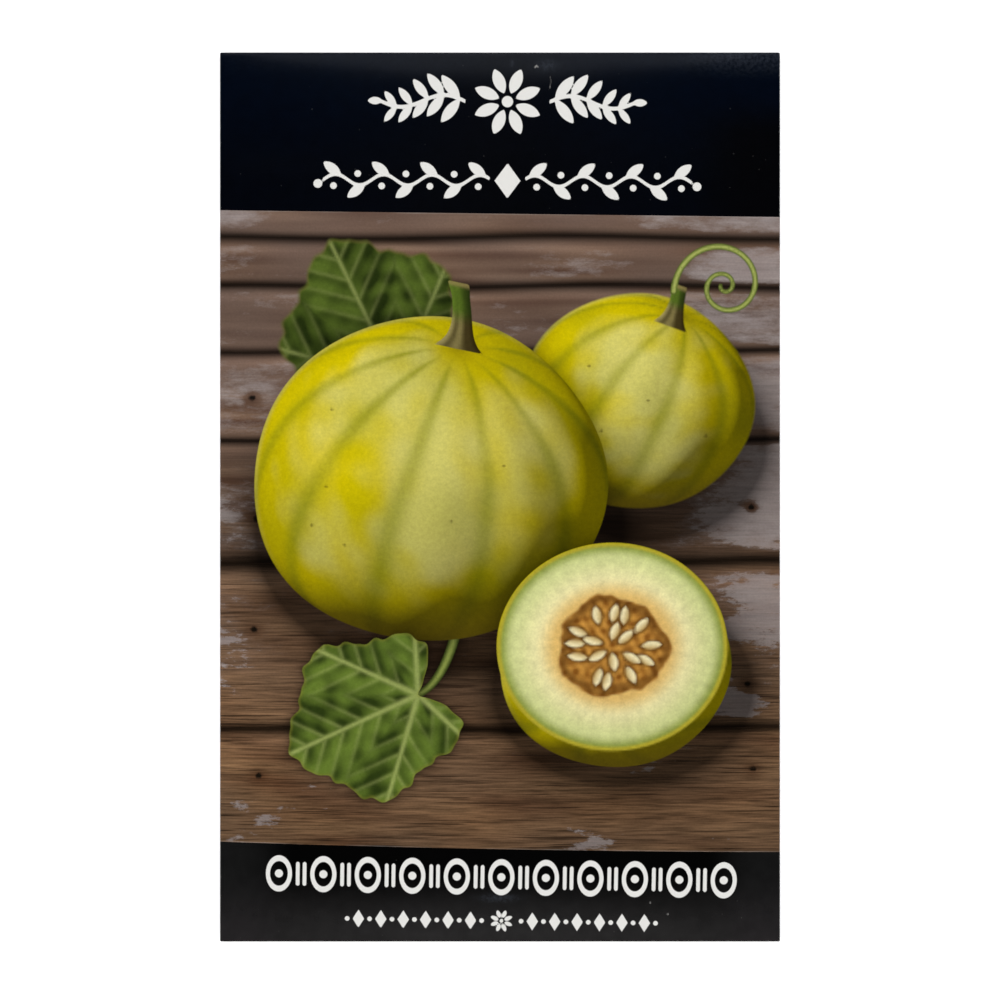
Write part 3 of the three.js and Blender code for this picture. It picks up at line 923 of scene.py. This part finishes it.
def cut_melon(x, y, centre, radius):
    """Colour and distance inside the outline of a half, whose body shows as a crescent below the cut."""
    face_x, face_y = x - centre[0], (y - centre[1]) / 0.9
    away = np.hypot(face_x, face_y)
    angle = np.arctan2(face_y, face_x)
    depth = radius - away
    body_centre, body_radii = (centre[0] + 0.3, centre[1] - 2.0), (radius, 0.93 * radius)
    body_colour, body_edge = melon(x, y, body_centre, body_radii, (0.2, 0.3, -1), 10)

    flat = np.stack([x, y], -1)
    fibres = mottle(np.stack([9 * np.cos(angle), 9 * np.sin(angle), depth / 9], -1), 1.1)
    colour = blend(linear("#7E8A3A"), linear("#BFC384"), soft(depth, 0.5, 2.6))
    colour = blend(colour, linear("#D8D09A"), soft(depth, 2.2, 6.5))
    colour = blend(colour, linear("#CDA962"), soft(depth, 5.4, 8.8))
    gain = 1 + 0.04 * mottle(flat, 2.4) + 0.05 * fibres + 0.08 * soft(face_y - face_x, -12, 14)
    colour = colour * gain[:, None]
    ragged = 0.05 * np.cos(3 * angle + 0.6) + 0.035 * np.cos(7 * angle) + 0.02 * mottle(flat, 2.0)
    hollow = 0.48 * radius * (1 + ragged) - away
    pulp = blend(linear("#7A4A18"), linear("#C08A3C"), 0.5 + 0.5 * mottle(flat, 1.5))
    colour = blend(colour, pulp, soft(hollow, -0.3, 0.3))
    colour = blend(colour, linear("#4E2E10"), 0.65 * soft(hollow, -0.2, 0.5) * soft(hollow, 2.2, 0.6))
    for ring, seeds, first in SEED_RINGS:
        for k in range(seeds):
            way = first + k * 360 / seeds + draws.normal(0, 4)
            foot = (ring - 0.1 + draws.normal(0, 0.014)) * radius
            lean = draws.normal(0, 14)
            u, v = turned(face_x, face_y, (0, 0), way)
            u, v = turned(u, v, (foot, 0), lean)
            seed = vesica(u, v, 0.19 * radius, 0.085 * radius)
            colour = blend(colour, linear("#3E260C"), 0.65 * soft(seed, -0.55, -0.05))
            seed_colour = blend(linear("#B4965A"), linear("#E2D5A8"), soft(v + 0.15 * u, -0.5, 0.7))
            colour = blend(colour, seed_colour, soft(seed, -0.1, 0.3))
    colour = blend(colour, linear("#A79A2C"), soft(depth, 0.9, 0.3))
    face_edge = 0.95 * depth
    colour = blend(body_colour, colour, soft(face_edge, -0.15, 0.25))
    return colour, np.maximum(body_edge, face_edge)


print("seeds in the cut fruit:", sum(seeds for _, seeds, _ in SEED_RINGS))

# %% [markdown]
# ## The picture: leaves, a stem and a tendril
# A melon leaf is a broad shield with five shallow lobes and a notch where its stem joins. Five main veins
# fan out from there. A point belongs to the vein that it is nearest to in angle, and its distances along
# and away from that vein place the side veins. Stems and tendrils are lines: the distance to the nearest of
# many points along them.

# %% Leaves, a stem and a tendril
LEAF_MIDDLE = 0.36  # distance from the stem, as a share of the leaf's length
LEAF_RADIUS = 0.6
NOTCH = 0.35
MAIN_VEINS = np.array([-1.95, -0.85, 0, 0.85, 1.95])  # directions from the stem, in radians
VEIN_SECTOR = 0.45  # half the angle between two of them
VEIN_SPACING = 0.15  # of the side veins, as a share of the leaf's length
THIN_VEIN = 0.3


def leaf(x, y, stem_point, way, size, light):
    """Colour and distance inside the outline of one leaf, which points way degrees from its stem."""
    u, v = turned(x, y, stem_point, way)
    u, v = u / size, v / size
    from_middle = np.hypot(u - LEAF_MIDDLE, v)
    round_middle = np.arctan2(v, u - LEAF_MIDDLE)
    lobes = 0.05 * np.cos(5 * round_middle) + 0.02 * np.cos(2 * round_middle)
    teeth = 0.012 * np.cos(19 * round_middle + 0.5) + 0.007 * np.cos(31 * round_middle)
    notch = 1 - NOTCH * np.exp(-(((math.pi - np.abs(round_middle)) / 0.3) ** 2))
    edge = ((LEAF_RADIUS + lobes + teeth) * notch - from_middle) * size * 0.9

    reach, fan = np.hypot(u, v), np.arctan2(v, u)
    off = fan[:, None] - MAIN_VEINS
    angle = off[np.arange(len(fan)), np.abs(off).argmin(1)]
    share = np.clip(angle / VEIN_SECTOR, -1, 1)
    along, aside = reach * np.cos(angle), np.abs(reach * np.sin(angle))
    main = np.exp(-((aside / np.maximum(0.02 * (1.2 - reach), THIN_VEIN / size)) ** 2))
    phase = (along - 0.85 * aside) / VEIN_SPACING
    off_vein = phase - np.round(phase)
    side = np.exp(-((off_vein / 0.12) ** 2)) * (1 - 0.75 * np.abs(share)) * (along > 0.1)
    puckers = mottle(np.stack([x, y], -1), 0.17 * size)
    swelling = np.sin(2 * math.pi * off_vein) * soft(aside, 0, 0.05)
    tone = 0.5 + 0.34 * puckers + 0.2 * swelling + 0.3 * np.sin(math.pi * share)
    colour = blend(linear("#27340F"), linear("#5C7029"), tone)
    colour = blend(colour, linear("#95A05A"), np.maximum(0.8 * main, 0.4 * side))
    colour = blend(colour, linear("#77772C"), 0.45 * soft(edge, 0.5, 0.0))
    return colour * light, edge


def drawn_line(x, y, line, widths, dark, pale):
    """Colour and distance inside a line with these points and widths, darker at its sides."""
    low, high = line.min(0) - 2, line.max(0) + 2
    near = (x > low[0]) & (x < high[0]) & (y > low[1]) & (y < high[1])
    away = np.hypot(x[near, None] - line[:, 0], y[near, None] - line[:, 1])
    edge = np.full(x.shape, FAR_OUT)
    edge[near] = (widths / 2 - away).max(1)
    return blend(linear(dark), linear(pale), soft(edge, 0.0, widths.max() / 2)), edge


def stem(x, y, points):
    """A leaf's stem: the quadratic curve that starts at the first of three points, leans to the second and
    ends at the third."""
    t = np.linspace(0, 1, 60)[:, None]
    start, lean, end = np.array(points)
    line = (1 - t) ** 2 * start + 2 * t * (1 - t) * lean + t**2 * end
    return drawn_line(x, y, line, 1.0 + 0.5 * t[:, 0], "#39461A", "#93A04E")


def tendril(x, y, centre, radius, start):
    """A spiral that closes in as (1 - t)^1.7 from start degrees, through two turns."""
    t = np.linspace(0, 1, 400)
    turn = math.radians(start) - 2 * math.pi * 2.05 * t**1.1
    curl = radius * (1 - t) ** 1.7 + 0.9 - 0.35 * t
    line = np.array(centre) + curl[:, None] * np.stack([np.cos(turn), np.sin(turn)], -1)
    return drawn_line(x, y, line, 0.95 - 0.4 * t, "#46551C", "#A3AB5C")


print("main veins in a leaf:", len(MAIN_VEINS))

# %% [markdown]
# ## The picture put together
# The fruit throws soft shadows on the boards and on each other: what lies behind a thing is darkened near
# that thing's outline, most on the side away from the light. The grid keeps each layer as four numbers, its
# colour and its distance, so that the material can lay one over the other with sharp edges.

# %% Paint every layer
LARGE = {"centre": (-10.5, 2.5), "radii": (26.0, 23.8), "stalk_end": (0.18, 0.86, 0.62), "ribs": 11}
SMALL = {"centre": (20.0, 14.0), "radii": (17.3, 15.8), "stalk_end": (0.4, 0.78, 0.45), "ribs": 10}
CUT = {"centre": (16.5, -22.0), "radius": 17.0}
LAYERS = {
    "leaf_behind": lambda x, y: leaf(x, y, (-15.0, 17.0), 116, 22, 0.72),
    "small_melon": lambda x, y: melon(x, y, **SMALL),
    "small_stalk": lambda x, y: stalk(x, y, (25.2, 25.6), 20, 5.6, 2.3),
    "tendril": lambda x, y: tendril(x, y, (33.0, 31.0), 6.6, 186),
    "leaf_stem": lambda x, y: stem(x, y, ((-12.1, -29.0), (-8.5, -27.5), (-6.5, -20.0))),
    "large_melon": lambda x, y: melon(x, y, **LARGE),
    "large_stalk": lambda x, y: stalk(x, y, (-6.0, 22.3), 12, 9.0, 3.2),
    "cut_melon": lambda x, y: cut_melon(x, y, **CUT),
    "leaf_front": lambda x, y: leaf(x, y, (-12.0, -29.0), 205, 20, 1.0),
}
LEE = (1.6, -2.2)  # how far a shadow falls from what throws it
FLOOR_SHADOWS = (  # middle and radii of the shadow that each fruit throws on the boards
    ((-10.5, -3.0), (27.0, 20.5)),
    ((20.0, 10.0), (17.5, 14.0)),
    ((16.5, -26.0), (19.0, 14.0)),
)
IN_FRONT = {  # what stands before each thing and shades it
    "leaf_behind": ("large_melon", "small_melon"),
    "leaf_stem": ("large_melon", "leaf_front"),
    "small_melon": ("large_melon", "cut_melon"),
    "large_melon": ("cut_melon", "leaf_front"),
    "cut_melon": ("leaf_front",),
}


def shadow(edge, reach, strength):
    """1 in the open, darker towards and under an outline."""
    return 1 - strength * np.exp(-np.maximum(-edge, 0) / reach)


def picture_fields(s, r):
    """Every layer of the still life, from back to front, and what they look like laid over one another."""
    ground, paint = boards(s, r)
    layers = {name: draw(s, r) for name, draw in LAYERS.items()}
    lee = 1 + 0 * s
    for centre, radii in FLOOR_SHADOWS:
        share = np.hypot((s - LEE[0] - centre[0]) / radii[0], (r - LEE[1] - centre[1]) / radii[1])
        lee = lee * shadow((1 - share) * radii[1], 3.2, 0.82)
    for name in ("leaf_front", "leaf_stem"):
        lee = lee * shadow(layers[name][1], 0.9, 0.6)
    ground[:, :3] *= lee[:, None]
    paint[:, :1] *= lee[:, None]
    drawn, look = {"boards": ground, "paint": paint}, ground[:, :3]
    for name, (colour, edge) in layers.items():
        for other in IN_FRONT.get(name, ()):
            colour = colour * shadow(layers[other][1], 2.2, 0.55)[:, None]
        drawn[name] = np.column_stack([colour, edge])
        look = blend(look, colour, soft(edge, -0.3, 0.3))
    return drawn, look


print("layers, from back to front:", ", ".join(LAYERS))

# %% [markdown]
# ## The picture's ink
# A picture is printed in fine dots of four inks that the eye runs together, under the same gloss varnish as
# the bands. The material lays the stored layers over one another. Wood grain and the bloom on the skin are
# finer than the grid, so noise adds them here. The noise for the wood is drawn out along the boards.

# %% Make the picture ink
GRAIN_LENGTH, GRAIN_WIDTH = 7.0, 0.32
FLAKE_LENGTH, FLAKE_WIDTH = 7.0, 2.4
SKIN_SPECKLE = 0.7
PRINT_DOT = 0.3  # three times the real size, because dots of a tenth of a millimetre would not show
HAIRLINE = 0.14  # width of the paler line beside each band
PAINT_PATCH_LENGTH, PAINT_PATCH_WIDTH = 9, 4  # of the paler and darker patches in the old paint

picture_finish, tree, shader = new_material("varnished_four_colour_print")
place = add(tree, "TexCoord", {}, {}).outputs["Object"]
ground = add(tree, "Attribute", {"attribute_name": "boards"}, {})
nearness = ground.outputs["Alpha"]
print("layers to lay over the boards:", len(LAYERS))

# %% Four noises drawn out along the boards
noises = []
for length, width, detail, roughness in (
    (GRAIN_LENGTH, GRAIN_WIDTH, 4, 0.6),
    (2.2 * GRAIN_LENGTH, GRAIN_WIDTH, 3, 0.5),
    (FLAKE_LENGTH, FLAKE_WIDTH, 9, 0.72),
    (PAINT_PATCH_LENGTH, PAINT_PATCH_WIDTH, 3, 0.5),
):
    scale = (1 / (length * MM), 1 / (width * MM), 1 / (length * MM))
    drawn_out = add(tree, "Mapping", {}, {"Vector": place, "Scale": scale}).outputs[0]
    noise = {"Vector": drawn_out, "Scale": 1, "Detail": detail, "Roughness": roughness}
    noises.append(add(tree, "TexNoise", {}, noise).outputs["Fac"])
grain, cracks, flakes, patches = noises
print("noises:", len(noises))

# %% Boards: grain, cracks and flaking paint
offset = add(tree, "Math", {"operation": "SUBTRACT"}, {0: grain, 1: 0.5}).outputs[0]
grain_depth = {"Value": nearness, "To Min": 0.25, "To Max": 2.9}
grain_depth = add(tree, "MapRange", {}, grain_depth).outputs["Result"]
grain_gain = {0: offset, 1: grain_depth, 2: 1.0}
grain_gain = add(tree, "Math", {"operation": "MULTIPLY_ADD"}, grain_gain).outputs[0]
wood = add(tree, "VectorMath", SCALED, {0: ground.outputs["Color"], "Scale": grain_gain}).outputs[0]
opened = {"Value": cracks, "From Min": 0.6, "From Max": 0.66}
deepened = {"Value": nearness, "From Min": 0.2, "To Max": 0.75}
opened, deepened = (add(tree, "MapRange", {}, crack).outputs["Result"] for crack in (opened, deepened))
crack_share = add(tree, "Math", TIMES, {0: opened, 1: deepened}).outputs[0]
wood = {MIX_FACTOR: crack_share, MIX_A: wood, MIX_B: rgba("#1C120B")}
wood = add(tree, "Mix", COLOURS, wood).outputs[MIXED]

paint = add(tree, "Attribute", {"attribute_name": "paint"}, {}).outputs
paint_light, cracked, from_band = add(tree, "SeparateColor", {}, {0: paint["Color"]}).outputs
flaked = {0: flakes, 1: 3.2, 2: paint["Alpha"]}
flaked = add(tree, "Math", {"operation": "MULTIPLY_ADD"}, flaked).outputs[0]
blurred_edge = {"Value": flaked, "From Min": 1.25, "From Max": 2.15, "To Max": 0.8}
crisp_edge = {"Value": flaked, "From Min": 1.6, "From Max": 1.78, "To Max": 0.75}
far, near = (add(tree, "MapRange", {}, edge).outputs["Result"] for edge in (blurred_edge, crisp_edge))
paint_share = add(tree, "Mix", {}, {0: nearness, 2: far, 3: near}).outputs[0]
paint_tone = {MIX_FACTOR: patches, MIX_A: rgba("#837674"), MIX_B: rgba("#A39B98")}
paint_tone = add(tree, "Mix", COLOURS, paint_tone).outputs[MIXED]
combed = {"Value": grain, "From Min": 0.3, "From Max": 0.7, "To Min": 0.86, "To Max": 1.12}
for gain in (paint_light, add(tree, "MapRange", {}, combed).outputs["Result"]):
    paint_tone = add(tree, "VectorMath", SCALED, {0: paint_tone, "Scale": gain}).outputs[0]
painted = {MIX_FACTOR: paint_share, MIX_A: wood, MIX_B: paint_tone}
colour = add(tree, "Mix", COLOURS, painted).outputs[MIXED]
print("nodes for the boards:", len(tree.nodes))

# %% Lay the painted things over the boards
SHARP = 0.1  # half the width over which an outline fades, and the same for things out of focus
SOFTNESS = {
    "leaf_behind": 0.45,
    "small_melon": 0.22,
    "small_stalk": 0.2,
    "tendril": 0.16,
    "leaf_stem": 0.14,
}
skin = {"Vector": place, "Scale": 1 / (SKIN_SPECKLE * MM), "Detail": 5, "Roughness": 0.6}
skin = add(tree, "TexNoise", {}, skin).outputs["Fac"]
skin_gain = {"Value": skin, "From Min": 0.3, "From Max": 0.7, "To Min": 0.92, "To Max": 1.08}
skin_gain = add(tree, "MapRange", {}, skin_gain).outputs["Result"]
for layer in LAYERS:
    half = SOFTNESS.get(layer, SHARP)
    stored = add(tree, "Attribute", {"attribute_name": layer}, {}).outputs
    edge = {"Value": stored["Alpha"], "From Min": -half, "From Max": half}
    cover = add(tree, "MapRange", {"interpolation_type": "SMOOTHSTEP"}, edge).outputs["Result"]
    speckled = add(tree, "VectorMath", SCALED, {0: stored["Color"], "Scale": skin_gain}).outputs[0]
    laid_over = {MIX_FACTOR: cover, MIX_A: colour, MIX_B: speckled}
    colour = add(tree, "Mix", COLOURS, laid_over).outputs[MIXED]
print("nodes with every layer:", len(tree.nodes))

# %% Break it into dots and leave a paler hairline beside each band
dots = {"Vector": place, "Scale": 1 / (PRINT_DOT * MM), "Detail": 1}
dots = add(tree, "TexNoise", {}, dots).outputs["Fac"]
dot_gain = {"Value": dots, "From Min": 0.3, "From Max": 0.7, "To Min": 0.95, "To Max": 1.05}
dot_gain = add(tree, "MapRange", {}, dot_gain).outputs["Result"]
printed = add(tree, "VectorMath", SCALED, {0: colour, "Scale": dot_gain}).outputs[0]
hairline = {0: from_band, 1: HAIRLINE / 2, 2: HAIRLINE / 2}
hairline = add(tree, "Math", {"operation": "COMPARE"}, hairline).outputs[0]
paper_shows = {"Value": patches, "From Min": 0.38, "From Max": 0.7, "To Min": 0.0, "To Max": 0.14}
paper_shows = add(tree, "MapRange", {}, paper_shows).outputs["Result"]
hairline = add(tree, "Math", TIMES, {0: hairline, 1: paper_shows}).outputs[0]
printed = {MIX_FACTOR: hairline, MIX_A: printed, MIX_B: rgba("#DCDBD7")}
tree.links.new(add(tree, "Mix", COLOURS, printed).outputs[MIXED], shader.inputs["Base Color"])
varnish(tree, shader, place, cracked)
print(f"{picture_finish.name}: {len(tree.nodes)} nodes")

# %% Print the picture
PICTURE_STEP = 0.29

picture_columns = round_the_folds(PICTURE_STEP, WRAP, WRAP)
picture_share = evenly(0, 1, PICTURE_STEP / (picture_top(0) - picture_bottom(0)))[:, None]
lower = picture_bottom(picture_columns) - TRAP
upper = picture_top(picture_columns) + TRAP
picture_ink = make_piece(
    "picture_ink",
    [(picture_columns[None, :], lower + picture_share * (upper - lower))],
    PAPER / 2 - INK / 2,
    picture_fields,
    picture_finish,
)
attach(picture_ink, "root")

# %% [markdown]
# ## What the pouch holds
# The seeds and the dried glue are sealed inside and never seen, unless the packet is cut open. Their solids
# are right as they are, so they only get their finish. A dry melon seed has a smooth buff coat, a little
# darker in clouds. Paper glue dries to a clear yellowish film.

# %% Finish the seeds and the glue
def clouded(name, dark, pale, size, roughness):
    """A finish that wanders between two colours in clouds of one size."""
    material, tree, shader = new_material(name)
    place = add(tree, "TexCoord", {}, {}).outputs["Object"]
    clouds = add(tree, "TexNoise", {}, {"Vector": place, "Scale": 1 / (size * MM), "Detail": 4})
    tones = {MIX_FACTOR: clouds.outputs["Fac"], MIX_A: rgba(dark), MIX_B: rgba(pale)}
    colour = add(tree, "Mix", COLOURS, tones)
    relief = {"Strength": 0.3, "Distance": 0.02 * MM, "Height": clouds.outputs["Fac"]}
    relief = add(tree, "Bump", {}, relief)
    tree.links.new(colour.outputs[MIXED], shader.inputs["Base Color"])
    tree.links.new(relief.outputs["Normal"], shader.inputs["Normal"])
    shader.inputs["Roughness"].default_value = roughness
    return material


seed_coat = clouded("dry_seed_coat", "#C9AE72", "#EBDCB4", 1.2, 0.5)
dried_glue = clouded("dried_paper_glue", "#C9BC93", "#E0D7BA", 2.5, 0.3)
finished = 0
for name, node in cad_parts.items():
    finish = seed_coat if name.startswith("seed_") else dried_glue if name.endswith("_glue") else None
    if finish:
        node.data.materials.clear()
        node.data.materials.append(finish)
        finished += 1
print("seeds and films of glue finished:", finished)

# %% [markdown]
# ## Studio and camera
# The packet lies on a table of opal glass that is lit from below, which is how a shop's photographer gets
# white all round a thing with no shadow. Large soft lights stand round it, low enough that the flat varnish
# mirrors none of them into the camera, so the dark ink stays dark. Two weak ones overhead, one beyond each
# end, are mirrored only where the paper curves away, and give part of the soft sheen of the bands' outer
# ends; the rest is painted into the ink. The studio's ceiling is dark for the same reason, but its walls are
# pale: the world looks pale to the camera and gives hardly any light.

# %% Table
TABLE_HALF = 0.8  # in metres, as the whole studio is
TABLE_DROP = 0.02 * MM  # so that glass and paper don't share a plane
table_corners = [
    (i * TABLE_HALF, j * TABLE_HALF, -TABLE_DROP) for i, j in ((-1, -1), (1, -1), (1, 1), (-1, 1))
]
table = bpy.data.meshes.new("table")
table.from_pydata(table_corners, [], [(0, 1, 2, 3)])
table_top = bpy.data.objects.new("table", table)
bpy.context.scene.collection.objects.link(table_top)
opal_glass = clouded("opal_glass", "#F4F4F4", "#F8F8F8", 40, 0.9)
lit_glass = opal_glass.node_tree.nodes["Principled BSDF"]
lit_glass.inputs["Emission Color"].default_value = (1, 1, 1, 1)
lit_glass.inputs["Emission Strength"].default_value = 0.35
table.materials.append(opal_glass)
print(f"table {2 * TABLE_HALF:.1f} m square")

# %% Lights
def softbox(name, azimuth, elevation, distance, size, power, colour=(1, 1, 1)):
    """An oblong area light that faces the packet, from a direction in degrees. Distance and size are in
    metres, and power is in watts."""
    light = bpy.data.lights.new(name, "AREA")
    light.color = colour
    light.shape = "RECTANGLE"
    light.size, light.size_y = size
    light.energy = power
    lamp = bpy.data.objects.new(name, light)
    turn, rise = math.radians(azimuth), math.radians(elevation)
    away = np.array([math.cos(rise) * math.cos(turn), math.cos(rise) * math.sin(turn), math.sin(rise)])
    lamp.location = away * distance
    lamp.rotation_euler = (math.pi / 2 - rise, 0, turn + math.pi / 2)
    bpy.context.scene.collection.objects.link(lamp)


for side, azimuth in enumerate((0, 90, 180, 270)):
    softbox(f"softbox_{side}", azimuth, 42, 1.1, (0.7, 0.5), 5.45)
softbox("sheen_top", 91, 69.2, 1.2, (0.6, 0.2), 0.18, (0.82, 0.88, 1.0))
softbox("sheen_bottom", 270, 60, 1.2, (0.9, 0.36), 0.1)

world = bpy.data.worlds.new("studio")
world.use_nodes = True
background = world.node_tree.nodes["Background"]
background.inputs["Color"].default_value = (1, 1, 1, 1)
seen = add(world.node_tree, "LightPath", {}, {}).outputs["Is Camera Ray"]
strength = add(world.node_tree, "MapRange", {}, {"Value": seen, "To Min": 0.01, "To Max": 0.9})
world.node_tree.links.new(strength.outputs["Result"], background.inputs["Strength"])
bpy.context.scene.world = world
bpy.context.scene.view_settings.view_transform = "Standard"

# %% Camera
PHOTO_PIXELS, PACKET_PIXELS = 1000, 560  # width of the photograph, and of the packet in it
FRAME_WIDTH = WIDTH * PHOTO_PIXELS / PACKET_PIXELS
PIXEL = FRAME_WIDTH / PHOTO_PIXELS
CAMERA_HEIGHT = 600  # above the packet's rim
CAMERA_SHIFT = -3  # pixels, because the packet isn't quite in the photograph's middle

lens = bpy.data.cameras.new("camera")
lens.sensor_width = 36
lens.lens = lens.sensor_width * CAMERA_HEIGHT / FRAME_WIDTH
lens.clip_start = 0.01
camera = bpy.data.objects.new("camera", lens)
camera.location = (0, CAMERA_SHIFT * PIXEL * MM, (RIM + PAPER + CAMERA_HEIGHT) * MM)
bpy.context.scene.collection.objects.link(camera)
bpy.context.scene.camera = camera
print(f"frame {FRAME_WIDTH:.1f} mm wide, lens {lens.lens:.1f} mm")
